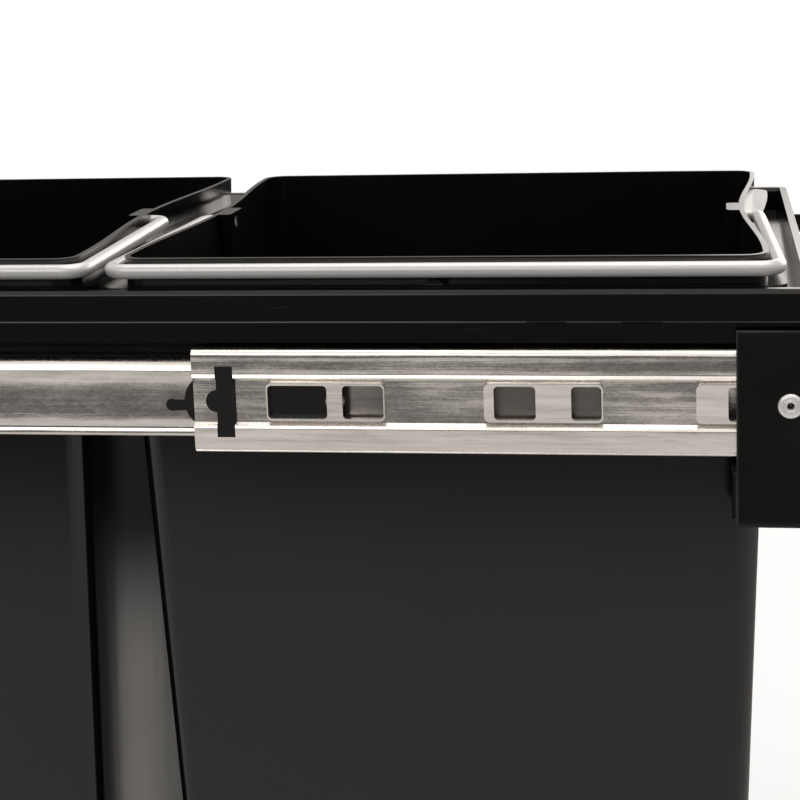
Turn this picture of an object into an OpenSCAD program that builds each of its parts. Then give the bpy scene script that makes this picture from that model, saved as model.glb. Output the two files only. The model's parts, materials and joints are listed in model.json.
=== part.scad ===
// Pull-out bin frame: two lift-out buckets hang in a tray ring, which rides out of a
// kitchen cabinet on a pair of full-extension ball-bearing slides.
// Millimetres. X runs along the slides with the cabinet front at -X, Y across, Z up.

/* [Slides] */
// Length of the cabinet rail
rail_len = 500; // [450:10:600]
// Height of the cabinet rail
rail_h = 38; // [36:0.1:42]
// Depth of the whole slide, wall side to bin side
slide_depth = 12.7; // [12.2:0.1:14]
// Sheet of the cabinet rail
outer_sheet = 1.2; // [1:0.05:1.4]
// Sheet of the mid rail
mid_sheet = 1; // [0.8:0.05:1.2]
// Sheet of the inner rail
inner_sheet = 1.2; // [1:0.05:1.4]
// Diameter of the bearing balls
ball_d = 3.4; // [3:0.1:3.8]
// Depth of the rolled ball track
track = 0.3; // [0.15:0.05:0.4]
// Free play round each ball
ball_play = 0.12; // [0.1:0.01:0.2]
// Balls in each row
ball_count = 8; // [4:1:10]
// Length of a ball cage
cage_len = 170; // [150:5:176]
// Thickness of a cage strip
cage_t = 0.8; // [0.6:0.1:1]
// Length of the mid rail
mid_len = 480; // [470:2:500]
// Length of the inner rail
inner_len = 490; // [480:2:496]
// Outer bend radius of the cabinet rail
outer_bend = 3; // [2.4:0.1:3.4]
// Outer bend radius of the mid rail
mid_bend = 3.4; // [3:0.1:3.8]
// Outer bend radius of the inner rail
inner_bend = 1.8; // [1.5:0.1:2.2]

/* [Rail web] */
// Height of the recessed trough in the web
trough_h = 15.2; // [14.6:0.2:16.4]
// Depth of the trough
trough_depth = 1.2; // [0.8:0.1:1.4]
// Room between the trough and the mid rail
web_gap = 2; // [1.8:0.1:2.4]
// Height of the windows
window_h = 12; // [9:0.2:12.4]
// Corner radius of the windows
window_r = 1.5; // [0.8:0.1:2]
// Height of the raised pads in the trough
pad_h = 13.8; // [13.2:0.1:14.2]
// Corner radius of the pads
pad_r = 2; // [1.6:0.1:2.6]
// Start of the first pad from the rail's front end
pad_1 = 26.8; // [26:0.2:28]
// Start of the second pad from the rail's front end
pad_2 = 104.5; // [100:0.5:108]
// Start of the third pad ahead of the bracket
pad_3 = 13.6; // [12:0.2:16]
// Length of the first pad
pad_1_len = 42.6; // [41:0.2:44]
// Length of the second pad
pad_2_len = 41.5; // [40:0.2:44]
// Pad left at a window's end
window_edge = 0.5; // [0.4:0.1:1]
// Length of the long window
window_long = 21.4; // [18:0.2:22]
// Length of the two middle windows
window_short = 14.6; // [12:0.2:15]
// Length of the narrow window
window_narrow = 10.5; // [8:0.2:12]
// Second pad ahead of its first window
window_lead = 3.5; // [2:0.1:5]
// Third pad ahead of its window
bracket_lead = 10.9; // [9:0.1:12]
// Web left on each side of a rivet
rivet_land = 6.7; // [6:0.1:7.5]
// Mid rail's slot from its front end
mid_slot = 330; // [300:2:350]
// Length of that slot
mid_slot_len = 34; // [20:1:40]

/* [Stop clip] */
// Width of the clip's bar
clip_w = 6.2; // [5:0.2:6.4]
// Height of the clip's bar
clip_h = 25.6; // [22:0.2:26]
// Front edge of the clip's bar from the rail's front end
clip_x = 8.6; // [8:0.2:10]
// Radius of the half-round lug on the clip
clip_lug = 3.9; // [3.6:0.1:4.6]
// Fit of the clip in the web
clip_fit = 0.15; // [0.1:0.05:0.25]
// Rear end of the insert from the rail's front end
insert_len = 56; // [55:0.5:58]
// Height of the insert
insert_h = 12.4; // [11:0.2:13]
// Height of the dome bumper
dome_h = 15; // [13:0.5:16]
// Projection of the dome past the rail
dome_out = 3.2; // [2.6:0.1:3.4]
// Projection of the nub past the dome
nub_out = 7.4; // [5:0.2:8]
// Thickness of the nub
nub_t = 4; // [3:0.1:4.2]
// Head diameter of the insert's rivet
clip_rivet_d = 6.6; // [5:0.2:7]

/* [Cabinet bracket] */
// Length of the bracket along the rail
bracket_len = 117; // [110:1:126]
// Sheet of the bracket
bracket_t = 1.5; // [1.2:0.1:2]
// Reach above the rail's centre line
bracket_up = 26; // [22:0.5:26.5]
// Reach below the rail's centre line
bracket_down = 44; // [40:0.5:60]
// Width of the bent flanges
bracket_flange = 11; // [8:0.5:12]
// Height of the front flange
bracket_tab = 20; // [16:0.5:22]
// Rivet distance from the bracket's ends
rivet_inset = 18.2; // [16:0.2:20]
// Flange diameter of the rivets
rivet_head_d = 8.8; // [7:0.2:9.4]
// Shank diameter of the rivets
rivet_d = 4.8; // [4:0.1:5]
// Distance between the two wall screws
screw_pitch = 32; // [28:1:40]
// Screw holes below the rail's centre line
screw_drop = 31; // [30:0.5:32]
// Diameter of the wall screw holes
screw_hole = 5.2; // [4.5:0.1:6]
// Height of the embossed stand-off round a wall screw
emboss = 1.2; // [1.1:0.1:1.6]

/* [Buckets] */
// Inside length of a bucket at its rim, along X
bucket_l = 228.4; // [210:0.2:250]
// Inside width of a bucket at its rim, along Y
bucket_w = 228.6; // [200:0.2:260]
// Height of a bucket
bucket_h = 390; // [330:5:440]
// Wall of a bucket
wall = 2; // [1.6:0.1:2.6]
// Floor of a bucket
floor_t = 2.6; // [2:0.1:4]
// Draft of the walls in degrees
draft = 2; // [1.6:0.1:2.6]
// Inside corner radius of the rim
corner_r = 6; // [4:0.5:9]
// How far the end walls bow in at the handle pivots
waist = 6; // [4:0.2:8]
// Rim above the tray's ledge
rim_up = 20.6; // [19:0.2:24]
// Thickness of the carrying flange
flange_t = 2.2; // [1.8:0.1:2.8]
// Corner radius of the carrying flange
flange_r = 8; // [6:0.5:12]
// Depth of the recess under the floor
foot_h = 3; // [2:0.5:5]
// Width of the foot round that recess
foot_w = 9; // [6:0.5:14]
// Width of the inside pivot bosses
boss_w = 20; // [16:0.5:24]
// Reach of the pivot bosses into the bucket
boss_in = 5.8; // [5.2:0.2:8]
// Height of the pivot bosses
boss_h = 48; // [30:1:50]
// Diameter of the half-round handle rests
rest_d = 8; // [6:0.5:9]

/* [Handles] */
// Diameter of the handle rod
handle_d = 5.4; // [5:0.1:6.4]
// Gap between the rod and the bucket's rim
handle_gap = 0.6; // [0.5:0.05:1]
// Centre of the folded handle below the rim
handle_drop = 4.1; // [3.8:0.1:5]
// Bend radius of the two corners, on the rod's centre line
handle_bend = 7; // [6:0.5:10]
// How far the arms draw in from the corners to the pivots
arm_draw = 4.4; // [2:0.1:4.6]
// Bend radius at the pivot pins
pin_bend = 5; // [4:0.2:6]
// Running clearance of the pins
pin_fit = 0.06; // [0.03:0.01:0.09]
// Middle of the handle rests below the top of the flange
rest_sink = 1.3; // [1:0.1:2.2]
// Gap between the folded handle and its rests
rest_gap = 0.3; // [0.2:0.05:0.5]

/* [Tray ring] */
// Thickness of the ring's upright wall
ring_wall = 3; // [2.4:0.1:4]
// Height of that wall above the ledge
ring_up = 11; // [8:0.2:13]
// Thickness of the ledge
ledge_t = 2.5; // [2:0.1:3.5]
// Gap between the two bucket flanges
bucket_gap = 4.8; // [3:0.1:7]
// Gap from a flange to the ring's end walls
end_gap = 6.1; // [4:0.1:9]
// Gap from a flange to the ring's side walls
side_gap = 2.7; // [1.5:0.1:4]
// Outer corner radius of the ring
ring_r = 5; // [4.5:0.5:12]
// Ledge above the rail's centre line
rail_drop = 28.8; // [27.6:0.2:32]
// Set-back of the ledge and skirt from the wall
ring_step = 0.8; // [0.5:0.1:1.2]
// Gap between the side skirts and the rails
skirt_gap = 1.8; // [1:0.1:2.5]
// Thickness of the side skirts
skirt_t = 2; // [1.6:0.1:2.4]
// Depth of the pocket in the skirt at each snap tab
pocket = 0.7; // [0.4:0.1:1]
// Width of a snap tab
tab_w = 14; // [10:0.5:18]
// Length of a snap tab below the ledge
tab_h = 8; // [6:0.2:8.6]

/* [Steel frame] */
// Sheet of the side beams and cross members
beam_t = 1.5; // [1.2:0.1:2]
// Reach of the side beams below the rail's centre line
beam_down = 13; // [11:0.5:16]
// Width of the beams' top flange
beam_flange = 6.7; // [5:0.1:7.5]
// Height of the front cross member
front_h = 41; // [38:0.5:48]
// Height of the rear and middle cross members
cross_h = 18; // [14:0.5:24]
// Width of the cross members' top flange
cross_flange = 8; // [6:0.2:9]
// Rivets of each inner rail
rail_rivet_count = 4; // [3:1:6]

/* [Door brackets] */
// Plate of the door brackets
door_t = 2; // [1.6:0.1:3]
// Width of a door bracket
door_w = 38; // [32:1:46]
// Height of a door bracket
door_h = 84; // [78:1:100]
// Centre of a door bracket from the middle plane
door_y = 93; // [80:1:94]
// Distance between the two fixing screws
door_screw_pitch = 18; // [16:0.5:20]
// Diameter of the fixing screws
door_screw = 5; // [4:0.5:5]
// Distance between the two door slots
slot_pitch = 22; // [18:0.5:26]
// Length of a door slot
slot_len = 16; // [12:0.5:20]
// Width of a door slot
slot_w = 5.5; // [4.5:0.1:6]

/* [Position] */
// How far the frame is pulled out
pull = 282.5; // [200:0.5:300]
// Whole travel of the frame
travel = 480; // [460:1:480]
// Ring's front end ahead of the rails when it is pushed home
ring_lead = 11; // [11:0.5:14]
// Inner rail behind the ring's front end
inner_back = 6; // [4:0.5:8]
// Outer cage from the rail's front end when pushed home
outer_cage_x = 186; // [185:0.5:188]
// Inner cage from the rail's front end when pushed home
inner_cage_x = 150; // [145:1:170]

/* [Hidden] */
$fn = 48;
eps = 0.02;
slope = tan(draft);

// Slide section: depth u from the mounting plane, height from the centre line
ball_r = ball_d / 2;
track_r = ball_r + ball_play;
ball_gap = ball_d - 2 * track + 2 * ball_play;
mid_h = rail_h - 2 * (outer_sheet + ball_gap);
inner_h = mid_h - 2 * (mid_sheet + ball_gap);
mid_u = trough_depth + outer_sheet + web_gap;
mid_end = slide_depth - inner_sheet - 0.5;
inner_end = mid_u + mid_sheet + 1.2;
row_1_u = mid_u + mid_bend - 1;
row_2_u = row_1_u + 2.4;
row_1_z = mid_h / 2 + ball_gap / 2;
row_2_z = inner_h / 2 + ball_gap / 2;
cage_edge = 0.4;
curl_r = outer_sheet + 1;
curl_u = row_1_u + track_r + cage_edge + 0.2 - 1;
slope_z = trough_h / 2 + trough_depth;

// Bucket, ring and frame across the cabinet
flange_w = handle_gap + handle_d;
rim_l = bucket_l + 2 * wall;
rim_w = bucket_w + 2 * wall;
flange_l = rim_l + 2 * flange_w;
flange_wide = rim_w + 2 * flange_w;
pitch = flange_l + bucket_gap;
ring_l = pitch + flange_l + 2 * end_gap + 2 * ring_wall;
ring_w = flange_wide + 2 * side_gap + 2 * ring_wall;
beam_in = rim_w / 2;
beam_out = beam_in + beam_t;
mount_y = beam_out + slide_depth;
open_l = rim_l + 0.2;
open_w = rim_w + 0.2;

// Heights above the rail's centre line
ledge_z = rail_drop;
under_z = ledge_z - ledge_t;
rim_z = ledge_z + rim_up;
bottom_z = rim_z - bucket_h;
handle_z = rim_z - handle_drop;
rest_z = handle_z - handle_d / 2 - rest_gap - rest_d / 2;
flange_z = rest_z + rest_sink - flange_t;
skirt_z = rail_h / 2 + skirt_gap;

// Places along the rail, from the cabinet rail's front end
ring_x = -(pull + ring_lead);
ring_end = ring_x + ring_l;
ring_mid = ring_x + ring_l / 2;
front_bucket_x = ring_mid - pitch / 2;
rear_bucket_x = ring_mid + pitch / 2;
lug_t = 1;
mid_x = -dome_out + 0.6 - lug_t - pull / 2;
inner_x = ring_x + inner_back;
stop_lug_x = insert_len + 0.3 + travel / 2 - pull / 2;
bracket_x = rail_len / 2 - bracket_len / 2;
rivet_x = [bracket_x + rivet_inset, bracket_x + bracket_len - rivet_inset];
door_x = ring_x - door_t / 2;
front_web_x = door_x + door_t;

// The origin is under the middle of the whole part
rail_x = -(rail_len + door_x) / 2;
rail_z = -bottom_z;

// Pads of the cabinet rail as [start, end], and the windows in them
pad_list = [
    [pad_1, pad_1 + pad_1_len],
    [pad_2, pad_2 + pad_2_len],
    [bracket_x - pad_3, bracket_x + rivet_inset + rivet_land]
];
pad_1_in = pad_1 + pad_1_len - window_edge;
pad_2_in = pad_2 + pad_2_len - window_edge;
window_list = [
    [pad_1 + window_edge, pad_1 + window_edge + window_long],
    [pad_1_in - window_short, pad_1_in],
    [pad_2 + window_lead, pad_2 + window_lead + window_short],
    [pad_2_in - window_narrow, pad_2_in],
    [bracket_x - pad_3 + bracket_lead, bracket_x + rivet_inset - rivet_land]
];
clip_rivet_x = (window_list[0][1] + window_list[1][0]) / 2 - 0.2;

// Colours
steel = [0.72, 0.73, 0.75];
black = [0.06, 0.06, 0.065];
gloss = [0.03, 0.03, 0.035];
grey = [0.78, 0.79, 0.8];
brass = [0.6, 0.6, 0.55];

// Piece to draw, or all of them

// Places a slide piece: X from the rail's front end, Y is the depth u, Z from the centre line
module right_side() {
    translate([rail_x, -mount_y, rail_z]) children();
}

module left_side() {
    mirror([0, 1, 0]) right_side() children();
}

// Places a frame piece: Y from the middle plane, Z from the rail's centre line
module frame_place() {
    translate([rail_x, 0, rail_z]) children();
}

// Extrudes a (Y, Z) section along X from x0 to x1
module along_x(x0, x1) {
    translate([x0, 0, 0]) rotate([90, 0, 90]) linear_extrude(x1 - x0) children();
}

// Extrudes an (X, Z) outline along Y from y0 to y1
module along_y(y0, y1) {
    translate([0, y1, 0]) rotate([90, 0, 0]) linear_extrude(y1 - y0) children();
}

// A pin along Y from y0 to y1
module pin_y(x, z, r, y0, y1) {
    translate([x, y0, z]) rotate([-90, 0, 0]) cylinder(r = r, h = y1 - y0);
}

// Quarter of a bent sheet about (cx, cy), in the quadrant given by the signs
module bend(cx, cy, r, t, sx, sy) {
    translate([cx, cy]) intersection() {
        difference() {
            circle(r);
            circle(r - t);
        }
        translate([sx < 0 ? -r - 1 : 0, sy < 0 ? -r - 1 : 0]) square(r + 1);
    }
}

module both_halves() {
    children();
    mirror([0, 1]) children();
}

module round_rect(l, w, r) {
    square([l, w - 2 * r], center = true);
    square([l - 2 * r, w], center = true);
    for (sx = [-1, 1], sy = [-1, 1])
        translate([sx * (l / 2 - r), sy * (w / 2 - r)]) circle(r);
}

module window(x0, x1) {
    translate([(x0 + x1) / 2, 0]) round_rect(x1 - x0, window_h, window_r);
}

// Slide sections
module outer_section() {
    both_halves() difference() {
        union() {
            translate([0, -eps]) square([outer_sheet, rail_h / 2 - outer_bend + eps]);
            bend(outer_bend, rail_h / 2 - outer_bend, outer_bend, outer_sheet, -1, 1);
            translate([outer_bend, rail_h / 2 - outer_sheet])
                square([curl_u - outer_bend, outer_sheet]);
            bend(curl_u, rail_h / 2 - curl_r, curl_r, outer_sheet, 1, 1);
        }
        translate([row_1_u, row_1_z]) circle(track_r);
    }
}

module mid_section() {
    both_halves() difference() {
        union() {
            translate([mid_u, -eps]) square([mid_sheet, mid_h / 2 - mid_bend + eps]);
            bend(mid_u + mid_bend, mid_h / 2 - mid_bend, mid_bend, mid_sheet, -1, 1);
            translate([mid_u + mid_bend, mid_h / 2 - mid_sheet])
                square([mid_end - mid_u - mid_bend, mid_sheet]);
        }
        translate([row_1_u, row_1_z]) circle(track_r);
        translate([row_2_u, row_2_z]) circle(track_r);
    }
}

module inner_section() {
    flat = slide_depth - inner_bend;
    both_halves() difference() {
        union() {
            translate([slide_depth - inner_sheet, -eps])
                square([inner_sheet, inner_h / 2 - inner_bend + eps]);
            bend(flat, inner_h / 2 - inner_bend, inner_bend, inner_sheet, 1, 1);
            translate([inner_end, inner_h / 2 - inner_sheet])
                square([flat - inner_end, inner_sheet]);
        }
        translate([row_2_u, row_2_z]) circle(track_r);
    }
}

// Solid back of the trough, and the recess that is pressed into it
module trough_back() {
    low = slope_z + outer_sheet * (sqrt(2) - 1);
    top = low - trough_depth;
    deep = outer_sheet + trough_depth;
    polygon([
        [0, -low], [outer_sheet, -low], [deep, -top],
        [deep, top], [outer_sheet, low], [0, low]
    ]);
}

module trough_cut() {
    polygon([
        [-1, -slope_z - 1], [trough_depth, -trough_h / 2],
        [trough_depth, trough_h / 2], [-1, slope_z + 1]
    ]);
}

// The web's front half, which its rear half mirrors
module both_ends() {
    children();
    translate([rail_len, 0, 0]) mirror([1, 0, 0]) children();
}

// A pad of the web between two places along the rail, drawn in by a margin
module pad_outline(place, margin) {
    translate([(place[0] + place[1]) / 2, 0])
        round_rect(place[1] - place[0] - 2 * margin, pad_h - 2 * margin, pad_r - margin);
}

module clip_outline(c) {
    translate([clip_x - c, -clip_h / 2 - c]) square([clip_w + 2 * c, clip_h + 2 * c]);
    translate([clip_x - c, -trough_h / 2 - c]) square([clip_w + 0.5 + 2 * c, trough_h + 2 * c]);
    translate([clip_x, 0]) circle(clip_lug + c);
}

module outer_rail() {
    deep = outer_sheet + trough_depth;
    difference() {
        union() {
            difference() {
                along_x(0, rail_len) {
                    outer_section();
                    trough_back();
                }
                along_x(-1, rail_len + 1) trough_cut();
            }
            both_ends() for (p = pad_list)
                along_y(0, deep) pad_outline(p, 0);
        }
        both_ends() for (p = pad_list)
            along_y(outer_sheet, mid_u) pad_outline(p, outer_sheet);
        both_ends() for (w = window_list)
            along_y(-1, mid_u) window(w[0], w[1]);
        along_y(-1, mid_u) clip_outline(clip_fit);
        for (x = rivet_x)
            pin_y(x, 0, rivet_d / 2, -1, mid_u);
    }
}

// Cabinet bracket: plate with a bent bottom flange, a short front flange and two stand-offs
module rail_bracket() {
    mid = bracket_x + bracket_len / 2;
    screw_x = [mid - screw_pitch / 2, mid + screw_pitch / 2];
    r = 2 * bracket_t;
    difference() {
        union() {
            translate([bracket_x, -bracket_t, -bracket_down + r])
                cube([bracket_len, bracket_t, bracket_up + bracket_down - r]);
            along_x(bracket_x, bracket_x + bracket_len) {
                bend(r - bracket_t, -bracket_down + r, r, bracket_t, -1, -1);
                translate([r - bracket_t, -bracket_down]) square([bracket_flange - r, bracket_t]);
            }
            translate([0, 0, -bracket_down + r]) linear_extrude(bracket_tab - r) {
                bend(bracket_x - bracket_t + r, r - bracket_t, r, bracket_t, -1, -1);
                translate([bracket_x - bracket_t, r - bracket_t])
                    square([bracket_t, bracket_flange - r]);
                translate([bracket_x - bracket_t + r, -bracket_t])
                    square([bracket_t, bracket_t]);
            }
            for (x = screw_x)
                translate([x, -bracket_t, -screw_drop]) rotate([90, 0, 0])
                    cylinder(r1 = screw_hole + 3.4, r2 = screw_hole + 2, h = emboss);
        }
        for (x = screw_x) {
            translate([x, eps, -screw_drop]) rotate([90, 0, 0])
                cylinder(r1 = screw_hole + 2.2, r2 = screw_hole + 0.8, h = emboss + eps);
            pin_y(x, -screw_drop, screw_hole / 2, -bracket_t - emboss - 1, 1);
        }
        for (x = rivet_x)
            pin_y(x, 0, rivet_d / 2, -bracket_t - 1, 1);
    }
}

// Blind rivet: domed flange outside, hollow stem, set tail inside
module blind_rivet(grip) {
    difference() {
        rotate([-90, 0, 0]) union() {
            cylinder(r = rivet_d / 2, h = grip);
            translate([0, 0, -1]) cylinder(r1 = rivet_head_d / 2 - 1, r2 = rivet_head_d / 2, h = 1);
            translate([0, 0, grip]) cylinder(r1 = rivet_d / 2 + 1, r2 = rivet_d / 2 + 0.4, h = 1.3);
        }
        pin_y(0, 0, 1.25, -2, grip / 2);
    }
}

module bracket_rivets() {
    for (x = rivet_x)
        translate([x, -bracket_t, 0]) blind_rivet(bracket_t + outer_sheet);
}

// Plastic insert behind the web, its clip through the web and its bumper ahead of the rail
module stop_clip() {
    back = mid_u - 0.3;
    front = outer_sheet + trough_depth + 0.15;
    dome_r = (dome_h * dome_h / 4 + dome_out * dome_out) / (2 * dome_out);
    nub_z = -1.7;
    difference() {
        union() {
            along_y(front, back) translate([insert_len / 2 - 1, 0])
                round_rect(insert_len + 2, insert_h, 2);
            along_y(0.35, front + 0.5) clip_outline(0);
            along_y(0.6, back) intersection() {
                translate([dome_r - dome_out, 0]) circle(dome_r);
                translate([-dome_out - 1, -dome_h / 2]) square([dome_out + 0.8, dome_h]);
            }
            along_y(front - 0.4, back - 0.2) {
                translate([-dome_out - nub_out + nub_t / 2, nub_z - nub_t / 2])
                    square([nub_out + 1, nub_t]);
                translate([-dome_out - nub_out + nub_t / 2 + 0.25, nub_z]) circle(nub_t / 2 + 0.25);
            }
        }
        pin_y(clip_rivet_x, 0, 1.5, 0, mid_u);
    }
}

module clip_rivet() {
    front = outer_sheet + trough_depth + 0.15;
    pin_y(clip_rivet_x, 0, clip_rivet_d / 2, outer_sheet + 0.2, front);
    pin_y(clip_rivet_x, 0, 1.5, front - eps, mid_u - 0.3);
}

module mid_rail() {
    stop = (insert_h - 1.2) / 2;
    slot = [mid_x + mid_slot, mid_x + mid_slot + mid_slot_len];
    difference() {
        union() {
            along_x(mid_x, mid_x + mid_len) mid_section();
            for (s = [-1, 1]) {
                translate([mid_x, outer_sheet + 1, s > 0 ? 4.5 : -6.8])
                    cube([lug_t, mid_u - outer_sheet - 1 + eps, 2.3]);
                translate([stop_lug_x, mid_u - web_gap + 0.3, s > 0 ? stop - 2 : -stop])
                    cube([lug_t, web_gap - 0.3 + eps, 2]);
            }
        }
        along_y(mid_u - 1, mid_u + mid_sheet + 1) window(slot[0], slot[1]);
    }
}

// Ball cage: an upper and a lower strip with a pocket for each ball
function ball_x(start, i) = start + cage_len * (i + 0.5) / ball_count;

module cage_strips(start, u, z, back) {
    for (s = [-1, 1]) difference() {
        translate([start, u - track_r - back, s * z - cage_t / 2])
            cube([cage_len, 2 * track_r + back + cage_edge, cage_t]);
        for (i = [0:ball_count - 1])
            translate([ball_x(start, i), u, s * z - 1]) cylinder(r = track_r, h = 2);
    }
}

module ball_rows(start, u, z) {
    for (s = [-1, 1], i = [0:ball_count - 1])
        translate([ball_x(start, i), u, s * z]) sphere(ball_r);
}

outer_cage_at = outer_cage_x - pull / 4;
inner_cage_at = inner_cage_x - 3 * pull / 4;

module inner_rail() {
    difference() {
        along_x(inner_x, inner_x + inner_len) inner_section();
        for (i = [0:rail_rivet_count - 1])
            pin_y(rail_rivet_x(i), 0, 2, slide_depth - 3, slide_depth + 1);
    }
}

function rail_rivet_x(i) = inner_x + inner_len * (i + 0.5) / rail_rivet_count;

module rail_rivets() {
    for (i = [0:rail_rivet_count - 1]) translate([rail_rivet_x(i), 0, 0]) {
        pin_y(0, 0, 2, slide_depth - inner_sheet - eps, slide_depth + beam_t + eps);
        pin_y(0, 0, 3.4, slide_depth - inner_sheet - 1.2, slide_depth - inner_sheet);
        pin_y(0, 0, 3, slide_depth + beam_t, slide_depth + beam_t + 0.8);
    }
}

// Side beam: angle with its flange under the ring's ledge, slotted for the snap tabs
tab_places = [51.6, 84.6];

module at_tabs() {
    for (t = tab_places, s = [-1, 1])
        translate([ring_mid + s * (ring_l / 2 - t - tab_w / 2), 0, 0]) children();
}

module side_beam() {
    r = 2 * beam_t;
    x0 = front_web_x;
    x1 = ring_end - (front_web_x - ring_x);
    difference() {
        along_x(x0, x1) {
            translate([-beam_out, -beam_down]) square([beam_t, under_z - r + beam_down]);
            bend(-beam_in - r, under_z - r, r, beam_t, 1, 1);
            translate([-beam_out - beam_flange, under_z - beam_t])
                square([beam_flange + beam_t - r, beam_t]);
        }
        at_tabs() translate([-tab_w / 2 - 0.5, -beam_out - 2.4, under_z - r - 1])
            cube([tab_w + 1, 2.3, r + 2]);
        for (i = [0:rail_rivet_count - 1])
            pin_y(rail_rivet_x(i), 0, 2, -beam_out - 1, -beam_in + 1);
    }
}

// Cross members, welded between the side beams
module front_cross_member() {
    color(black) frame_place() difference() {
        translate([0, -beam_in, 0]) union() {
            translate([front_web_x, 0, under_z - front_h]) cube([beam_t, 2 * beam_in, front_h]);
            translate([front_web_x, 0, under_z - beam_t])
                cube([beam_t + cross_flange, 2 * beam_in, beam_t]);
        }
        for (s = [-1, 1], z = door_screw_z)
            translate([front_web_x - 1, s * door_y, z]) rotate([0, 90, 0])
                cylinder(r = door_screw / 2, h = beam_t + 2);
    }
}

module rear_cross_member() {
    x1 = ring_end - (front_web_x - ring_x);
    color(black) frame_place() translate([0, -beam_in, 0]) union() {
        translate([x1 - beam_t, 0, under_z - cross_h]) cube([beam_t, 2 * beam_in, cross_h]);
        translate([x1 - beam_t - cross_flange, 0, under_z - beam_t])
            cube([beam_t + cross_flange, 2 * beam_in, beam_t]);
    }
}

module middle_cross_member() {
    color(black) frame_place() translate([ring_mid, -beam_in, 0]) union() {
        translate([-beam_t / 2, 0, under_z - cross_h]) cube([beam_t, 2 * beam_in, cross_h]);
        translate([-cross_flange / 2, 0, under_z - beam_t])
            cube([cross_flange, 2 * beam_in, beam_t]);
    }
}

// Tray ring: upright wall, ledge with two openings, side skirts, snap tabs over the beams
module ring_skirt() {
    translate([ring_x + ring_r, ring_w / 2 - ring_step - skirt_t, skirt_z])
        cube([ring_l - 2 * ring_r, skirt_t, under_z - skirt_z + ledge_t / 2]);
}

module ring_pockets() {
    rim = 0.9;
    at_tabs() translate([-tab_w / 2, ring_w / 2 - ring_step - pocket, skirt_z + rim])
        cube([tab_w, pocket + 1, ledge_z - skirt_z - 1.5 * rim]);
}

module tray_ring() {
    color(gloss) frame_place() {
        difference() {
            union() {
                translate([ring_mid, 0, under_z]) linear_extrude(ledge_t + 0.3)
                    round_rect(ring_l - 2 * ring_step, ring_w - 2 * ring_step, ring_r - ring_step);
                translate([ring_mid, 0, ledge_z]) linear_extrude(ring_up)
                    round_rect(ring_l, ring_w, ring_r);
                for (s = [0, 1]) mirror([0, s, 0]) ring_skirt();
            }
            translate([ring_mid, 0, ledge_z]) linear_extrude(ring_up + 1)
                round_rect(ring_l - 2 * ring_wall, ring_w - 2 * ring_wall, ring_r - ring_wall);
            for (s = [-1, 1])
                translate([ring_mid + s * pitch / 2, 0, under_z - 1]) linear_extrude(ledge_t + 2)
                    round_rect(open_l, open_w, corner_r + wall);
            for (s = [0, 1]) mirror([0, s, 0]) ring_pockets();
        }
        for (s = [0, 1]) mirror([0, s, 0]) at_tabs()
            translate([-tab_w / 2, beam_out + 0.3, under_z - tab_h])
                cube([tab_w, 1.5, tab_h + ledge_t / 2]);
    }
}

// Door brackets, bolted to the front cross member
door_top = under_z - 4;
door_screw_z = [door_top - 9, door_top - 9 - door_screw_pitch];
slot_z = [under_z - front_h - 13, under_z - front_h - 13 - slot_pitch];

module door_bracket(s) {
    head = door_screw / 2 + door_t - 0.4;
    color(black) frame_place() difference() {
        translate([door_x, s * door_y, door_top - door_h / 2]) rotate([90, 0, 90])
            linear_extrude(door_t) round_rect(door_w, door_h, 6);
        for (z = door_screw_z) translate([door_x, s * door_y, z]) rotate([0, 90, 0]) {
            translate([0, 0, -1]) cylinder(r = door_screw / 2, h = door_t + 2);
            translate([0, 0, -eps]) cylinder(r1 = head + eps, r2 = door_screw / 2, h = door_t - 0.4 + eps);
        }
        for (z = slot_z) translate([door_x - 1, s * door_y, z]) rotate([90, 0, 90])
            linear_extrude(door_t + 2) {
                square([slot_len - slot_w, slot_w], center = true);
                for (e = [-1, 1]) translate([e * (slot_len - slot_w) / 2, 0]) circle(slot_w / 2);
            }
    }
}

nut_h = 4;

module door_bracket_screws() {
    head = door_screw / 2 + door_t - 0.4;
    color(steel) frame_place() for (s = [-1, 1], z = door_screw_z)
        translate([door_x, s * door_y, z]) rotate([0, 90, 0]) difference() {
            union() {
                cylinder(r1 = head, r2 = door_screw / 2, h = door_t - 0.4);
                cylinder(r = door_screw / 2, h = door_t + beam_t + nut_h + 0.8);
            }
            translate([0, 0, -1]) cylinder(r = 1.6, h = 2, $fn = 6);
        }
}

module door_bracket_nuts() {
    color(steel) frame_place() for (s = [-1, 1], z = door_screw_z)
        translate([front_web_x + beam_t, s * door_y, z]) rotate([0, 90, 0]) difference() {
            cylinder(r = door_screw * 0.92, h = nut_h, $fn = 6);
            translate([0, 0, -1]) cylinder(r = door_screw / 2, h = nut_h + 2);
        }
}

// Plan of a bucket: round corners, end walls that bow in at the handle pivots
function bow(y, w, r, p) = p * (0.5 + 0.5 * cos(180 * y / (w / 2 - r)));
function end_wall(s, l, w, r, p, n) = [
    for (i = [1:n - 1])
        let (y = s * (w / 2 - r) * (2 * i / n - 1))
        [s * (l / 2 - bow(y, w, r, p)), y]
];
function corner(cx, cy, r, a, n) = [
    for (i = [0:n]) [cx + r * cos(a + 90 * i / n), cy + r * sin(a + 90 * i / n)]
];
function plan(l, w, r, p) = concat(
    corner(l / 2 - r, r - w / 2, r, -90, 6),
    end_wall(1, l, w, r, p, 14),
    corner(l / 2 - r, w / 2 - r, r, 0, 6),
    corner(r - l / 2, w / 2 - r, r, 90, 6),
    end_wall(-1, l, w, r, p, 14),
    corner(r - l / 2, r - w / 2, r, 180, 6)
);

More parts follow.
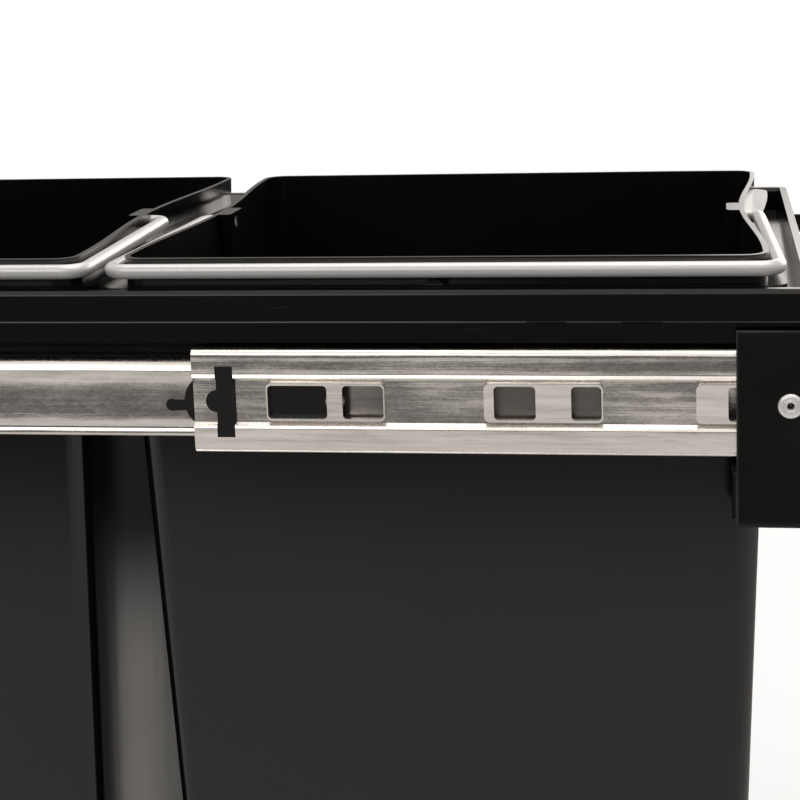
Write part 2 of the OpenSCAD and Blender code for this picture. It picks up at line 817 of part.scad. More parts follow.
// Tapered body with its rim size at height h above the base at z
module tapered(l, w, r, p, z, h) {
    low_l = l - 2 * h * slope;
    low_w = w - 2 * h * slope;
    translate([0, 0, z]) linear_extrude(h, scale = [l / low_l, w / low_w], slices = 1)
        polygon(plan(low_l, low_w, r, p));
}

module bucket() {
    over = 2;
    base_l = rim_l - 2 * bucket_h * slope - 2 * foot_w;
    base_w = rim_w - 2 * bucket_h * slope - 2 * foot_w;
    boss_x = rim_l / 2 - waist - wall - boss_in;
    boss_root = 0.2;
    skirt = 1.8;
    difference() {
        union() {
            difference() {
                tapered(rim_l, rim_w, corner_r + wall, waist, bottom_z, bucket_h);
                tapered(bucket_l + 2 * over * slope, bucket_w + 2 * over * slope, corner_r, waist,
                    bottom_z + foot_h + floor_t, bucket_h - foot_h - floor_t + over);
            }
            for (s = [-1, 1])
                translate([s * (boss_x + (boss_in + boss_root) / 2), 0, rim_z - boss_h])
                    linear_extrude(boss_h) round_rect(boss_in + boss_root, boss_w, 2);
            translate([0, 0, flange_z]) linear_extrude(flange_t) difference() {
                polygon(plan(flange_l, flange_wide, flange_r, waist));
                polygon(plan(rim_l - 3, rim_w - 3, corner_r, waist));
            }
            translate([0, 0, ledge_z]) linear_extrude(flange_z - ledge_z + flange_t / 2) difference() {
                polygon(plan(flange_l, flange_wide, flange_r, waist));
                polygon(plan(flange_l - 2 * skirt, flange_wide - 2 * skirt, flange_r - skirt, waist));
            }
            for (s = [-1, 1])
                translate([0, s * (rim_w + flange_w) / 2, rest_z]) rotate([90, 0, 0])
                    cylinder(d = rest_d, h = flange_w - 0.4, center = true);
        }
        for (s = [-1, 1])
            translate([s * (boss_x + rim_l / 2) / 2, 0, handle_z]) rotate([0, 90, 0])
                cylinder(r = handle_d / 2 + pin_fit, h = rim_l / 2 - boss_x + 2, center = true);
        translate([0, 0, bottom_z - 1]) linear_extrude(foot_h + 1)
            round_rect(base_l - 2 * waist, base_w, corner_r);
    }
}

// Bail handle, folded down on the right side, with its pins turned into the bosses
module rod_y(x, y, a, h) {
    translate([x, y, 0]) rotate([0, 0, a]) rotate([-90, 0, 0]) cylinder(d = handle_d, h = h);
}

module rod_x(x0, x1, y) {
    translate([x0, y, 0]) rotate([0, 90, 0]) cylinder(d = handle_d, h = x1 - x0);
}

// The rod thins a little in a bend, and the bend runs a little way into the straight rods
module rod_bend(x, y, r, a, sweep) {
    thin = 0.02;
    root = 0.4 * 180 / (PI * r);
    translate([x, y, 0]) rotate([0, 0, a - root]) rotate_extrude(angle = sweep + 2 * root)
        translate([r, 0]) circle(d = handle_d - 2 * thin);
}

// Bar across the front, corners, arms that draw in along the bowed end walls, and pivot pins
module handle() {
    arm_x = rim_l / 2 + handle_gap + handle_d / 2;
    bar_y = -(rim_w / 2 + handle_gap + handle_d / 2);
    tip = rim_l / 2 - waist - wall - boss_in + 0.8;
    lean = atan(arm_draw / -bar_y);
    corner_x = arm_x - handle_bend;
    corner_y = bar_y + handle_bend;
    arm_y = corner_y + handle_bend * sin(lean);
    arm_len = (pin_bend * sin(lean) - pin_bend - arm_y) / cos(lean);
    pin_x = corner_x + (handle_bend - pin_bend) * cos(lean) - arm_len * sin(lean);
    translate([0, 0, handle_z]) {
        rod_x(-corner_x, corner_x, bar_y);
        for (s = [0, 1]) mirror([s, 0, 0]) {
            rod_bend(corner_x, corner_y, handle_bend, -90, 90 + lean);
            rod_y(corner_x + handle_bend * cos(lean), arm_y, lean, arm_len);
            rod_bend(pin_x, -pin_bend, pin_bend, lean, 90 - lean);
            rod_x(tip, pin_x, 0);
        }
    }
}

// Nodes
module outer_rail_right() { color(steel) right_side() outer_rail(); }
module outer_rail_left() { color(steel) left_side() outer_rail(); }
module rail_bracket_right() { color(black) right_side() rail_bracket(); }
module rail_bracket_left() { color(black) left_side() rail_bracket(); }
module bracket_rivets_right() { color(grey) right_side() bracket_rivets(); }
module bracket_rivets_left() { color(grey) left_side() bracket_rivets(); }
module stop_clip_right() { color(black) right_side() stop_clip(); }
module stop_clip_left() { color(black) left_side() stop_clip(); }
module clip_rivet_right() { color(grey) right_side() clip_rivet(); }
module clip_rivet_left() { color(grey) left_side() clip_rivet(); }
module mid_rail_right() { color(steel) right_side() mid_rail(); }
module mid_rail_left() { color(steel) left_side() mid_rail(); }
module outer_cage() { color(brass) cage_strips(outer_cage_at, row_1_u, row_1_z, 1.4); }
module inner_cage() { color(brass) cage_strips(inner_cage_at, row_2_u, row_2_z, 1); }
module outer_cage_right() { right_side() outer_cage(); }
module outer_cage_left() { left_side() outer_cage(); }
module outer_balls_right() { color(grey) right_side() ball_rows(outer_cage_at, row_1_u, row_1_z); }
module outer_balls_left() { color(grey) left_side() ball_rows(outer_cage_at, row_1_u, row_1_z); }
module inner_cage_right() { right_side() inner_cage(); }
module inner_cage_left() { left_side() inner_cage(); }
module inner_balls_right() { color(grey) right_side() ball_rows(inner_cage_at, row_2_u, row_2_z); }
module inner_balls_left() { color(grey) left_side() ball_rows(inner_cage_at, row_2_u, row_2_z); }
module inner_rail_right() { color(steel) right_side() inner_rail(); }
module inner_rail_left() { color(steel) left_side() inner_rail(); }
module side_beam_right() { color(black) frame_place() side_beam(); }
module side_beam_left() { color(black) frame_place() mirror([0, 1, 0]) side_beam(); }
module rail_rivets_right() { color(grey) right_side() rail_rivets(); }
module rail_rivets_left() { color(grey) left_side() rail_rivets(); }
module door_bracket_right() { door_bracket(-1); }
module door_bracket_left() { door_bracket(1); }
module front_bucket() { color(gloss) frame_place() translate([front_bucket_x, 0, 0]) bucket(); }
module rear_bucket() { color(gloss) frame_place() translate([rear_bucket_x, 0, 0]) bucket(); }
module front_handle() { color(grey) frame_place() translate([front_bucket_x, 0, 0]) handle(); }
module rear_handle() { color(grey) frame_place() translate([rear_bucket_x, 0, 0]) handle(); }

outer_rail_right();
outer_rail_left();
rail_bracket_right();
rail_bracket_left();
bracket_rivets_right();
bracket_rivets_left();
stop_clip_right();
stop_clip_left();
clip_rivet_right();
clip_rivet_left();
mid_rail_right();
mid_rail_left();
outer_cage_right();
outer_cage_left();
outer_balls_right();
outer_balls_left();
inner_cage_right();
inner_cage_left();
inner_balls_right();
inner_balls_left();
inner_rail_right();
inner_rail_left();
side_beam_right();
side_beam_left();
rail_rivets_right();
rail_rivets_left();
front_cross_member();
middle_cross_member();
rear_cross_member();
tray_ring();
door_bracket_right();
door_bracket_left();
door_bracket_screws();
door_bracket_nuts();
front_bucket();
rear_bucket();
front_handle();
rear_handle();
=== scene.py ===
import json
import math

import bmesh
import bpy
from mathutils import Matrix, Vector


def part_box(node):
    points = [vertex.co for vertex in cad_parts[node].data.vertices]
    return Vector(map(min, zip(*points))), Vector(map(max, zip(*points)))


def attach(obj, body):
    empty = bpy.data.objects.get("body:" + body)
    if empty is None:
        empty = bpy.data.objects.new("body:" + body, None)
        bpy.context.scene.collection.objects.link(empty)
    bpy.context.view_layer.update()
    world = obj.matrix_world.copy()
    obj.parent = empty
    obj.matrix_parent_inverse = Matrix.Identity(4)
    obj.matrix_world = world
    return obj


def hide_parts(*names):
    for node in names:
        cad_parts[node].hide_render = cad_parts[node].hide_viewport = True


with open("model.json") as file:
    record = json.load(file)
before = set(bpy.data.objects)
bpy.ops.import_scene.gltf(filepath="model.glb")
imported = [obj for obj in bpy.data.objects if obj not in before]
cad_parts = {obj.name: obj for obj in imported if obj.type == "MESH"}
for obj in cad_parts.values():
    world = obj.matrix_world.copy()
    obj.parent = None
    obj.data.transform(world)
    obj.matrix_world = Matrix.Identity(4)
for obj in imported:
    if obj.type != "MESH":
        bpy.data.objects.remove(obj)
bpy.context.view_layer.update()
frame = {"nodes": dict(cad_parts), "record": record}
nodes = frame["nodes"]
scene = bpy.context.scene
scene.view_settings.view_transform = "Standard"
MM = 0.001
rail_low, rail_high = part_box("outer_rail_right")
RAIL_Z = (rail_low[2] + rail_high[2]) / 2
WALL_FACE = -rail_low[1]


# Shader helpers

def new_material(name):
    mat = bpy.data.materials.new(name)
    mat.use_nodes = True
    tree = mat.node_tree
    return mat, tree, tree.nodes["Principled BSDF"]


def feed(tree, socket, value):
    """Links a socket to another one, or gives it a constant."""
    if isinstance(value, bpy.types.NodeSocket):
        tree.links.new(value, socket)
    else:
        socket.default_value = value


def add(tree, kind, inputs=None, **settings):
    node = tree.nodes.new(kind)
    for key, value in settings.items():
        setattr(node, key, value)
    for key, value in (inputs or {}).items():
        feed(tree, node.inputs[key], value)
    return node


def rest_place(tree):
    """Coordinates of the rest pose in metres: they stay with the piece when it moves."""
    return tree.nodes.new("ShaderNodeTexCoord").outputs["Object"]


def split(tree, vector):
    return add(tree, "ShaderNodeSeparateXYZ", {"Vector": vector}).outputs


def scaled_place(tree, scale, turn=(0, 0, 0)):
    scale = scale if isinstance(scale, tuple) else (scale,) * 3
    inputs = {"Vector": rest_place(tree), "Scale": scale, "Rotation": turn}
    return add(tree, "ShaderNodeMapping", inputs).outputs[0]


def noise(tree, scale, detail=4.0, rough=0.55, turn=(0, 0, 0), distort=0.0):
    inputs = {"Vector": scaled_place(tree, scale, turn), "Scale": 1.0, "Detail": detail,
              "Roughness": rough, "Distortion": distort}
    return add(tree, "ShaderNodeTexNoise", inputs).outputs["Fac"]


def cells(tree, scale, output="Distance"):
    inputs = {"Vector": scaled_place(tree, scale), "Scale": 1.0}
    return add(tree, "ShaderNodeTexVoronoi", inputs).outputs[output]


def remap(tree, value, low, high, to_low=0.0, to_high=1.0, kind="LINEAR"):
    inputs = {"Value": value, "From Min": low, "From Max": high, "To Min": to_low, "To Max": to_high}
    return add(tree, "ShaderNodeMapRange", inputs, interpolation_type=kind).outputs[0]


def soft_step(tree, value, low, high, to_low, to_high):
    return remap(tree, value, low, high, to_low, to_high, "SMOOTHSTEP")


def math_node(tree, operation, a, b):
    return add(tree, "ShaderNodeMath", {0: a, 1: b}, operation=operation).outputs[0]


def vector_node(tree, operation, *vectors, output=0):
    inputs = dict(enumerate(vectors))
    return add(tree, "ShaderNodeVectorMath", inputs, operation=operation).outputs[output]


def blend_colour(tree, factor, low, high):
    low, high = ((*c, 1.0) if isinstance(c, tuple) else c for c in (low, high))
    return add(tree, "ShaderNodeMix", {0: factor, 6: low, 7: high}, data_type="RGBA").outputs[2]


def bump(tree, shader, height, distance, strength, normal=None):
    inputs = {"Height": height, "Distance": distance, "Strength": strength}
    if normal is not None:
        inputs["Normal"] = normal
    tree.links.new(add(tree, "ShaderNodeBump", inputs).outputs[0], shader.inputs["Normal"])


def weighted(tree, *pairs):
    total = None
    for value, weight in pairs:
        part = math_node(tree, "MULTIPLY", value, weight)
        total = part if total is None else math_node(tree, "ADD", total, part)
    return total


# Lean of rolled and moulded faces: from a height, to a height, the degrees gained between them,
# and True where only the raised pads have it. Heights are millimetres from the slides' centre line.
# The beads beside the trough and along the lower edge catch the light from above.
WEB_BANDS = (
    (19.6, 19.5, 8.0), (15.4, 14.0, -6.0), (12.2, 11.2, 5.0),
    (10.4, 9.7, -36.0), (8.5, 7.9, 32.0), (7.4, 7.0, 9.5, True),
    (-7.0, -7.4, -9.5, True), (-7.9, -8.5, -32.0), (-9.4, -10.0, 38.5),
    (-15.0, -15.3, 7.0), (-15.8, -16.1, -7.0), (-17.3, -18.0, -130.0),
)
MID_BANDS = (
    (10.1, 10.4, -27.5), (30.0, 29.0, 11.0), (11.0, 0.0, -10.5),
    (-6.5, -9.0, 10.0), (-10.3, -10.5, -18.0), (-10.9, -11.2, -22.0),
)
RING_BANDS = ((27.9, 28.1, -19.0), (28.4, 28.6, 19.0), (37.7, 38.5, -34.0))
RING_DISH = 5.0
PAD_DEPTH = (0.3, 0.9)
DISH_FADE = 4.0


def rolled_face(tree, spread, bands, dish=0.0):
    """Leans the shading of a face that looks sideways by its height, and dishes one that looks up."""
    spot = split(tree, rest_place(tree))
    depth = math_node(tree, "SUBTRACT", WALL_FACE, math_node(tree, "ABSOLUTE", spot["Y"], 0))
    depth = math_node(tree, "MULTIPLY", depth, 1 / MM)
    height = math_node(tree, "MULTIPLY", math_node(tree, "SUBTRACT", spot["Z"], RAIL_Z), 1 / MM)
    lean = math_node(tree, "MULTIPLY", spread, math.radians(1.0))
    for low, high, degrees, *pads_only in bands:
        rise = soft_step(tree, height, low, high, 0.0, math.radians(degrees))
        if pads_only:
            rise = math_node(tree, "MULTIPLY", rise, soft_step(tree, depth, *PAD_DEPTH, 1.0, 0.0))
        lean = math_node(tree, "ADD", lean, rise)
    normal = tree.nodes.new("ShaderNodeNewGeometry").outputs["Normal"]
    facing = split(tree, normal)
    lean = math_node(tree, "MULTIPLY", lean, math_node(tree, "MULTIPLY", facing["Y"], facing["Y"]))
    upward = math_node(tree, "POWER", math_node(tree, "MAXIMUM", facing["Z"], 0.0), DISH_FADE)
    inward = math_node(tree, "MULTIPLY", spot["Y"], -math.radians(dish) / WALL_FACE)
    shift = add(tree, "ShaderNodeCombineXYZ", {"Y": math_node(tree, "MULTIPLY", inward, upward),
                                               "Z": math_node(tree, "MULTIPLY", lean, -1.0)})
    return vector_node(tree, "NORMALIZE", vector_node(tree, "ADD", normal, shift.outputs[0]))


# Materials

ZINC = ((0.68, 0.645, 0.615), (0.97, 0.935, 0.9))
ZINC_ROUGH = 0.22
# Painted shade: the dark dull film on the middle strip where it runs inside the outer rail, from 40 mm past
# the outer rail's left end
INNER_SHADE = (0.085, 0.078, 0.071)
INNER_SHADE_START = rail_low[0] + 0.04
INNER_SHADE_RUN = 0.05
# Painted edge highlight on the powder coat: the colour its edges are lightened to, and how far in it
# reaches
EDGE_HIGHLIGHT = (0.075, 0.07, 0.066)
EDGE_HIGHLIGHT_WIDTH = 1.2 * MM
# Painted shade in the rivets' hollows: the dark colour, and how far the occlusion looks
HOLLOW_SHADE = (0.02, 0.019, 0.018)
HOLLOW_SHADE_REACH = 2 * MM


def galvanised(name, bands, shaded_past=None):
    """Rolled zinc-coated strip: streaks along the rail, spangle, dull smudges, and past a place in X a
    painted shade (a dark dull film) for the part that runs inside the outer rail.
    """
    mat, tree, shader = new_material(name)
    streak = remap(tree, noise(tree, (9, 700, 700), 5, 0.6), 0.32, 0.68)
    fine = remap(tree, noise(tree, (30, 2600, 2600), 3, 0.6), 0.3, 0.7)
    smudge = remap(tree, noise(tree, (18, 165, 165), 6, 0.66, distort=0.25), 0.36, 0.62)
    grit = remap(tree, noise(tree, (700, 1400, 1400), 3, 0.7), 0.35, 0.7)
    grains = cells(tree, (260, 420, 420), "Color")
    spangle = add(tree, "ShaderNodeSeparateColor", {"Color": grains}).outputs[0]
    mixed = weighted(tree, (streak, 0.3), (smudge, 0.38), (spangle, 0.12), (fine, 0.1), (grit, 0.1))
    colour = blend_colour(tree, mixed, *ZINC)
    dull = weighted(tree, (smudge, -0.08), (spangle, 0.04), (fine, 0.06), (grit, 0.05))
    if shaded_past is not None:
        along = split(tree, rest_place(tree))["X"]
        along = math_node(tree, "ADD", along, math_node(tree, "MULTIPLY", smudge, 0.02))
        # painted shade: darkens and dulls the strip past the start in X
        shade_film = soft_step(tree, along, shaded_past, shaded_past + INNER_SHADE_RUN, 0.0, 0.75)
        colour = blend_colour(tree, shade_film, colour, INNER_SHADE)
        dull = math_node(tree, "ADD", dull, math_node(tree, "MULTIPLY", shade_film, 0.28))
    tree.links.new(colour, shader.inputs["Base Color"])
    shader.inputs["Metallic"].default_value = 1.0
    tree.links.new(math_node(tree, "ADD", dull, ZINC_ROUGH), shader.inputs["Roughness"])
    spread = weighted(tree, (streak, 2.0), (grit, 2.0), (smudge, 6.0))
    spread = math_node(tree, "SUBTRACT", spread, 5.0)
    relief = weighted(tree, (fine, 0.5), (streak, 0.5), (spangle, 0.3))
    bump(tree, shader, relief, 0.00005, 0.4, rolled_face(tree, spread, bands))
    return mat


def powder_coat(name, colour, rough):
    """Powder coat: fine orange peel, a little dust, and a painted highlight that makes the edges lighter.
    """
    mat, tree, shader = new_material(name)
    peel = noise(tree, 900, 2, 0.5)
    haze = remap(tree, noise(tree, 26, 5, 0.6), 0.35, 0.7)
    speck = remap(tree, cells(tree, 520), 0.035, 0.06, 1.0, 0.0)
    pale = tuple(min(1.0, c * 2.2 + 0.006) for c in colour)
    tint = weighted(tree, (haze, 0.25), (speck, 0.3))
    # painted highlight: lightens the colour near rounded edges, found with the Bevel node
    normal = tree.nodes.new("ShaderNodeNewGeometry").outputs["True Normal"]
    rounded = add(tree, "ShaderNodeBevel", {"Radius": EDGE_HIGHLIGHT_WIDTH}, samples=6).outputs[0]
    along = vector_node(tree, "DOT_PRODUCT", normal, rounded, output="Value")
    patchy = remap(tree, noise(tree, 90, 3), 0.3, 0.6, 0.4, 1.0)
    edge_highlight = math_node(tree, "MULTIPLY", remap(tree, along, 0.995, 0.93), patchy)
    coat = blend_colour(tree, tint, colour, pale)
    tree.links.new(blend_colour(tree, edge_highlight, coat, EDGE_HIGHLIGHT), shader.inputs["Base Color"])
    tree.links.new(math_node(tree, "ADD", weighted(tree, (haze, 0.1)), rough), shader.inputs["Roughness"])
    shader.inputs["Specular IOR Level"].default_value = 0.2
    bump(tree, shader, peel, 0.00008, 0.35)
    return mat


def moulded(name, colour, rough, wear, bands=(), dish=0.0):
    """Moulded black plastic: fine grain, hair scratches and settled dust, faces that round off in bands."""
    mat, tree, shader = new_material(name)
    haze = remap(tree, noise(tree, 14, 5, 0.6), 0.35, 0.7)
    lines = noise(tree, (24, 900, 900), 3, 0.6, turn=(0.3, 0.1, 0.35), distort=0.4)
    more = noise(tree, (700, 30, 700), 3, 0.6, turn=(0.1, 0.5, -0.4), distort=0.5)
    scratch = math_node(tree, "MAXIMUM", remap(tree, lines, 0.69, 0.74), remap(tree, more, 0.7, 0.75))
    grains = remap(tree, cells(tree, 640), 0.05, 0.09, 1.0, 0.0)
    dust = math_node(tree, "MULTIPLY", grains, remap(tree, noise(tree, 60, 3), 0.52, 0.66))
    pale = tuple(c + 0.05 for c in colour)
    marks = math_node(tree, "MULTIPLY", weighted(tree, (scratch, 0.35), (dust, 0.9), (haze, 0.02)), wear)
    tree.links.new(blend_colour(tree, marks, colour, pale), shader.inputs["Base Color"])
    dull = weighted(tree, (haze, 0.07), (scratch, 0.16 * wear), (dust, 0.3 * wear))
    tree.links.new(math_node(tree, "ADD", dull, rough), shader.inputs["Roughness"])
    grain = noise(tree, 1800, 2, 0.5)
    sway = noise(tree, 9, 2, 0.5)
    relief = weighted(tree, (grain, 0.05), (sway, 1.0), (scratch, -0.02))
    face = rolled_face(tree, 0.0, bands, dish) if bands else None
    bump(tree, shader, relief, 0.0006, 0.25, face)
    return mat


def satin_rod(name, low, high):
    """Light grey glossy coating on the wire handles, with faint clouds."""
    mat, tree, shader = new_material(name)
    cloud = noise(tree, 60, 1, 0.5)
    tree.links.new(blend_colour(tree, cloud, low, high), shader.inputs["Base Color"])
    shader.inputs["Roughness"].default_value = 0.3
    shader.inputs["Metallic"].default_value = 0.25
    return mat


def bright_metal(name, low, high, rough, grain, metal=1.0, shade_hollows=False):
    """Drawn or headed small parts: fine scratches, a slightly uneven polish, painted shade in the hollows.
    """
    mat, tree, shader = new_material(name)
    brush = remap(tree, noise(tree, grain, 4, 0.6), 0.3, 0.7)
    stain = remap(tree, noise(tree, 420, 4, 0.6), 0.4, 0.7)
    colour = blend_colour(tree, weighted(tree, (brush, 0.5), (stain, 0.5)), low, high)
    if shade_hollows:
        # painted shade: darkens the colour where ambient occlusion finds a hollow
        hollow = add(tree, "ShaderNodeAmbientOcclusion", {"Distance": HOLLOW_SHADE_REACH}, samples=8).outputs["AO"]
        colour = blend_colour(tree, remap(tree, hollow, 0.9, 0.35), colour, HOLLOW_SHADE)
    tree.links.new(colour, shader.inputs["Base Color"])
    shader.inputs["Metallic"].default_value = metal
    tree.links.new(remap(tree, brush, 0, 1, rough, rough + 0.14), shader.inputs["Roughness"])
    bump(tree, shader, brush, 0.00003, 0.4)
    return mat


MATERIALS = {
    "galvanised": galvanised("galvanised_strip", WEB_BANDS),
    "black_steel": powder_coat("black_powder_coat", (0.0022, 0.0021, 0.002), 0.42),
    "rivet": bright_metal("rivet_aluminium", (0.88, 0.875, 0.87), (0.95, 0.945, 0.94), 0.32, 1500,
                          metal=0.5, shade_hollows=True),
    "clip_plastic": moulded("clip_plastic", (0.0024, 0.0023, 0.0022), 0.4, 0.5),
    "cage": bright_metal("cage_steel", (0.4, 0.39, 0.37), (0.58, 0.57, 0.55), 0.34, (60, 1800, 1800)),
    "ball": bright_metal("ball_steel", (0.68, 0.68, 0.7), (0.85, 0.85, 0.87), 0.08, 900),
    "black_plastic": moulded("bucket_plastic", (0.004, 0.0037, 0.0035), 0.13, 0.35),
    "handle_grey": satin_rod("handle_coating", (0.66, 0.655, 0.66), (0.7, 0.695, 0.695)),
}
FINISH = {
    "tray_ring": moulded("ring_plastic", (0.003, 0.0028, 0.0026), 0.12, 0.8, RING_BANDS, RING_DISH),
    "mid_rail": galvanised("galvanised_middle_strip", MID_BANDS, INNER_SHADE_START),
}


# Smooth shading and rounded edges for the CAD nodes

WELD = 2e-6
SMOOTH_BELOW = math.radians(27)
ROUND_ABOVE = math.radians(40)
WIDE_EDGE = 0.8


def soften_group():
    group = bpy.data.node_groups.new("soften", "GeometryNodeTree")
    for side in ("INPUT", "OUTPUT"):
        group.interface.new_socket("Geometry", in_out=side, socket_type="NodeSocketGeometry")
    start = group.nodes.new("NodeGroupInput")
    end = group.nodes.new("NodeGroupOutput")
    weld = add(group, "GeometryNodeMergeByDistance", {"Distance": WELD})
    drop = add(group, "GeometryNodeRemoveAttribute", {"Name": "custom_normal"})
    faces = add(group, "GeometryNodeSetShadeSmooth", {"Shade Smooth": True}, domain="FACE")
    edges = add(group, "GeometryNodeSetShadeSmooth", {"Shade Smooth": False}, domain="EDGE")
    angle = group.nodes.new("GeometryNodeInputMeshEdgeAngle").outputs[0]
    sharp = add(group, "FunctionNodeCompare", {0: angle, 1: SMOOTH_BELOW}, operation="GREATER_THAN")
    group.links.new(sharp.outputs[0], edges.inputs["Selection"])
    chain = (start, weld, drop, faces, edges, end)
    for a, b in zip(chain, chain[1:]):
        group.links.new(a.outputs[0], b.inputs[0])
    return group


SOFTEN = soften_group()
EDGE = {
    "outer_rail": 0.6, "mid_rail": 0.35, "inner_rail": 0.2, "rail_bracket": 0.6, "stop_clip": 0.3,
    "side_beam": 0.25, "front_cross": 0.3, "middle_cross": 0.3, "rear_cross": 0.3, "tray_ring": 1.0,
    "door_bracket": 0.35, "front_bucket": 0.9, "rear_bucket": 0.9, "rail_rivets": 0.25, "clip_rivet": 0.25,
}


def by_start(table, name, otherwise):
    return next((value for key, value in table.items() if name.startswith(key)), otherwise)


def dress(name):
    obj = nodes[name]
    slot = next(s["material_slot"] for s in frame["record"]["subparts"] if s["node"] == name)
    obj.data.materials.clear()
    obj.data.materials.append(by_start(FINISH, name, MATERIALS[slot]))
    soften = obj.modifiers.new("soften", "NODES")
    soften.node_group = SOFTEN
    width = by_start(EDGE, name, 0)
    if width:
        bevel = obj.modifiers.new("edge", "BEVEL")
        bevel.width = width * MM
        bevel.segments = 4 if width > WIDE_EDGE else 3
        bevel.limit_method = "ANGLE"
        bevel.angle_limit = ROUND_ABOVE
        bevel.use_clamp_overlap = True
        bevel.harden_normals = True


for node_name in nodes:
    dress(node_name)


# Blind rivets: hollow core with the mandrel's stub, domed flange with a ring groove, set tail

RIVET = (
    (0.0, -1.2), (0.5, -1.25), (0.85, -1.4), (1.0, -1.8), (1.22, -1.8), (1.3, 0.7),
    (1.5, 0.93), (1.9, 0.99), (2.3, 0.93), (2.45, 0.76), (2.62, 0.9), (3.0, 0.97),
    (3.5, 0.86), (4.0, 0.58), (4.3, 0.28), (4.38, 0.02),
    (2.4, 0.0), (2.4, -2.7), (3.3, -2.75), (3.4, -3.2), (2.8, -3.95), (0.0, -4.0),
)
HEAD_R = 4.4 * MM
HEAD_RISE = 1.0 * MM
TURNS = 48


def lathe(bm, profile, origin, out):
    """Turns a (radius, height) profile in millimetres about the Y axis through origin."""
    angles = [2 * math.pi * i / TURNS for i in range(TURNS)]
    rings = []
    for radius, height in profile:
        y = origin[1] + out * height * MM
        if radius == 0:
            rings.append([bm.verts.new((origin[0], y, origin[2]))])
            continue
        reach = radius * MM
        spots = [(origin[0] + reach * math.cos(a), y, origin[2] + reach * math.sin(a)) for a in angles]
        rings.append([bm.verts.new(spot) for spot in spots])
    for one, two in zip(rings, rings[1:]):
        for i in range(TURNS):
            j = (i + 1) % TURNS
            corners = [one[i % len(one)], one[j % len(one)], two[j % len(two)], two[i % len(two)]]
            bm.faces.new(list(dict.fromkeys(corners)))


def mesh_piece(name, bm, material, body):
    bmesh.ops.recalc_face_normals(bm, faces=bm.faces)
    mesh = bpy.data.meshes.new(name)
    bm.to_mesh(mesh)
    bm.free()
    mesh.polygons.foreach_set("use_smooth", [True] * len(mesh.polygons))
    mesh.materials.append(material)
    obj = bpy.data.objects.new(name, mesh)
    scene.collection.objects.link(obj)
    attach(obj, body)
    return obj


for side, out in (("right", -1), ("left", 1)):
    box_low, box_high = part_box("bracket_rivets_" + side)
    face = (box_low[1] if out < 0 else box_high[1]) - out * HEAD_RISE
    height = (box_low[2] + box_high[2]) / 2
    rivets = bmesh.new()
    for x in (box_low[0] + HEAD_R, box_high[0] - HEAD_R):
        lathe(rivets, RIVET, (x, face, height), out)
    piece = mesh_piece("set_rivets_" + side, rivets, MATERIALS["rivet"], "cabinet_rails")
    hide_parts("bracket_rivets_" + side)


# Floor and light

FLOOR_SIZE = (60, 60)
FLOOR_DROP = 0.0008
FLOOR_COLOUR = (0.8, 0.83, 0.86, 1)
WHITE_RUN = (0.7, 1.3)
PAPER, PAPER_FULL, PAPER_END = 0.64, 0.64, 1.1
PAPER_FALL = ((0.0, 0.25, 0.65), (0.42, 0.76, 0.1))
ROOM = 0.1
BEHIND = 0.3
RIGHT_GLOW = 0.7
AMBIENT = 0.26
WARM = (1.0, 0.95, 0.9)
FLOOR_GLOW = 0.26

# Edges of the bright parts of the backdrop, by the direction of a mirrored ray
ABOVE_EDGE = (0.14, 0.42)
BEHIND_EDGE = (-0.2, 0.3)
RIGHT_EDGE = (-0.02, 0.04)
GLOW_RISE, GLOW_FALL = (-0.03, 0.025), (0.1, 0.2)


def plane(name, size, location):
    mesh = bpy.data.meshes.new(name)
    w, d = size[0] / 2, size[1] / 2
    mesh.from_pydata([(-w, -d, 0), (w, -d, 0), (w, d, 0), (-w, d, 0)], [], [(0, 1, 2, 3)])
    obj = bpy.data.objects.new(name, mesh)
    obj.location = location
    scene.collection.objects.link(obj)
    return obj


def distance_xy(tree, spot):
    flat = add(tree, "ShaderNodeCombineXYZ", {"X": spot["X"], "Y": spot["Y"]})
    return vector_node(tree, "LENGTH", flat.outputs[0], output="Value")


def plain_rays(tree, path):
    return math_node(tree, "MAXIMUM", path.outputs["Is Camera Ray"], path.outputs["Is Transmission Ray"])


def mix_shaders(tree, factor, a, b):
    return add(tree, "ShaderNodeMixShader", {0: factor, 1: a, 2: b}).outputs[0]


# The floor is plain pale and keeps the shadow near the object; further off it is white paper.
# Mirror rays see the paper too, and it ends in front of the object.
floor = plane("floor", FLOOR_SIZE, (0, 0, -FLOOR_DROP))
floor_mat, floor_tree, floor_shader = new_material("pale_floor")
floor_shader.inputs["Roughness"].default_value = 0.9
floor_shader.inputs["Base Color"].default_value = FLOOR_COLOUR
floor_shader.inputs["Emission Color"].default_value = (1, 1, 1, 1)
floor_shader.inputs["Emission Strength"].default_value = FLOOR_GLOW
spot = split(floor_tree, floor_tree.nodes.new("ShaderNodeNewGeometry").outputs["Position"])
far = soft_step(floor_tree, distance_xy(floor_tree, spot), *WHITE_RUN, 0.0, 1.0)
depth = spot["Y"]
paper = soft_step(floor_tree, depth, -PAPER_END, -PAPER_FULL, ROOM, PAPER)
for near, end, share in PAPER_FALL:
    paper = math_node(floor_tree, "MULTIPLY", paper, soft_step(floor_tree, depth, near, end, 1.0, share))
path = floor_tree.nodes.new("ShaderNodeLightPath")
white = add(floor_tree, "ShaderNodeEmission", {"Strength": 1.0}).outputs[0]
mirrored = add(floor_tree, "ShaderNodeEmission", {"Color": (*WARM, 1), "Strength": paper}).outputs[0]
seen = math_node(floor_tree, "MULTIPLY", plain_rays(floor_tree, path), far)
shown = mix_shaders(floor_tree, seen, floor_shader.outputs[0], white)
final = mix_shaders(floor_tree, path.outputs["Is Glossy Ray"], shown, mirrored)
floor_tree.links.new(final, floor_tree.nodes["Material Output"].inputs["Surface"])
floor.data.materials.append(floor_mat)

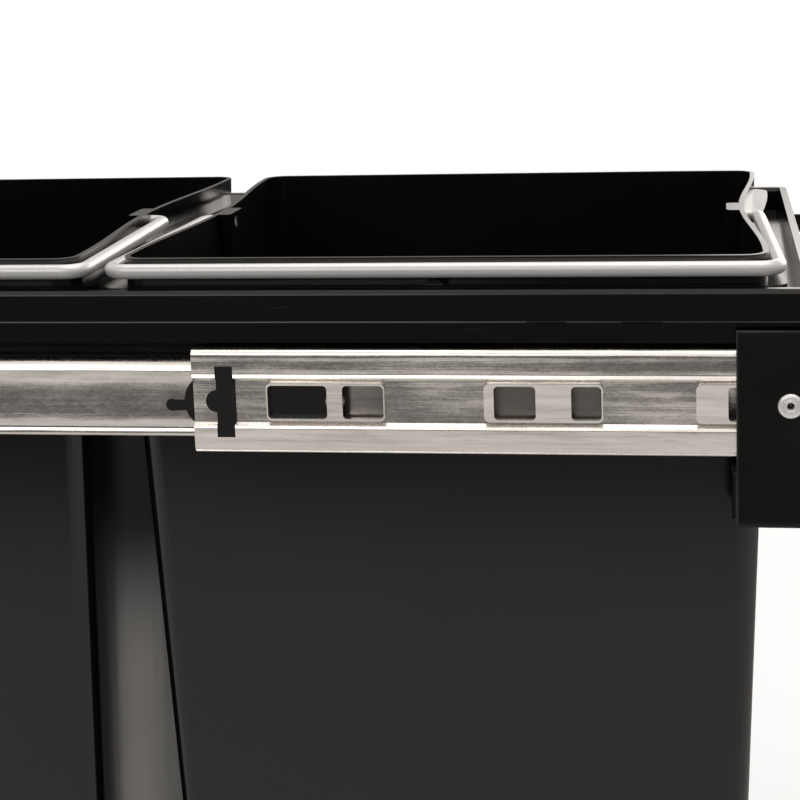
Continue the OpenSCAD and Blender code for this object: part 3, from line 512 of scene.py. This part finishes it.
# White backdrop above and behind, brighter on the right, and a dim room in front
world = bpy.data.worlds.new("studio")
world.use_nodes = True
scene.world = world
wt = world.node_tree
back = wt.nodes["Background"]
toward = split(wt, wt.nodes.new("ShaderNodeTexCoord").outputs["Generated"])
above = soft_step(wt, toward["Z"], *ABOVE_EDGE, ROOM, 1.0)
bright = soft_step(wt, toward["X"], *RIGHT_EDGE, BEHIND, 1.0)
glow = math_node(wt, "MULTIPLY", soft_step(wt, toward["X"], *GLOW_RISE, 0.0, RIGHT_GLOW),
                 soft_step(wt, toward["X"], *GLOW_FALL, 1.0, 0.0))
bright = math_node(wt, "ADD", bright, glow)
behind = soft_step(wt, toward["Y"], *BEHIND_EDGE, ROOM, bright)
room = math_node(wt, "MAXIMUM", above, behind)
sight = wt.nodes.new("ShaderNodeLightPath")
plain = plain_rays(wt, sight)
glossy = sight.outputs["Is Glossy Ray"]
shine = math_node(wt, "MULTIPLY", glossy, room)
fill = remap(wt, math_node(wt, "MAXIMUM", plain, glossy), 0, 1, AMBIENT, 0.0)
level = math_node(wt, "ADD", math_node(wt, "ADD", plain, shine), fill)
wt.links.new(level, back.inputs["Strength"])
wt.links.new(blend_colour(wt, plain, WARM, (1, 1, 1)), back.inputs["Color"])


def softbox(name, location, target, size, power):
    data = bpy.data.lights.new(name, "AREA")
    data.shape = "RECTANGLE"
    data.size, data.size_y = size
    data.energy = power
    data.color = WARM
    obj = bpy.data.objects.new(name, data)
    obj.location = location
    aim = Vector(target) - Vector(location)
    obj.rotation_euler = aim.to_track_quat("-Z", "Y").to_euler()
    obj.visible_camera = False
    scene.collection.objects.link(obj)


softbox("overhead", (0.1, 0.1, 2.2), (0, 0, 0.2), (2.4, 1.6), 30)
softbox("back", (1.7, 2.6, 1.3), (0, 0, 0.35), (3.0, 1.6), 40)
softbox("front", (-0.9, -2.2, 1.5), (0, 0, 0.3), (1.4, 1.2), 7)

# Camera at the photograph's viewing angle
CAMERA_PLACE = (0.08042, -0.74373, 0.49914)
YAW, PITCH, ROLL = -0.1453, 0.1743, -0.0308
cam_data = bpy.data.cameras.new("camera")
cam = bpy.data.objects.new("camera", cam_data)
scene.collection.objects.link(cam)
scene.camera = cam
cam_data.sensor_width = 36
cam_data.lens = 82.17
cam_data.shift_x, cam_data.shift_y = -0.06, -0.17
cam_data.clip_start = 0.02
look = Vector((math.sin(YAW) * math.cos(PITCH), math.cos(YAW) * math.cos(PITCH), -math.sin(PITCH)))
right = Vector((math.cos(YAW), -math.sin(YAW), 0))
up = right.cross(look)
right, up = right * math.cos(ROLL) + up * math.sin(ROLL), up * math.cos(ROLL) - right * math.sin(ROLL)
turned = Matrix((right, up, -look)).transposed().to_4x4()
cam.matrix_world = Matrix.Translation(CAMERA_PLACE) @ turned
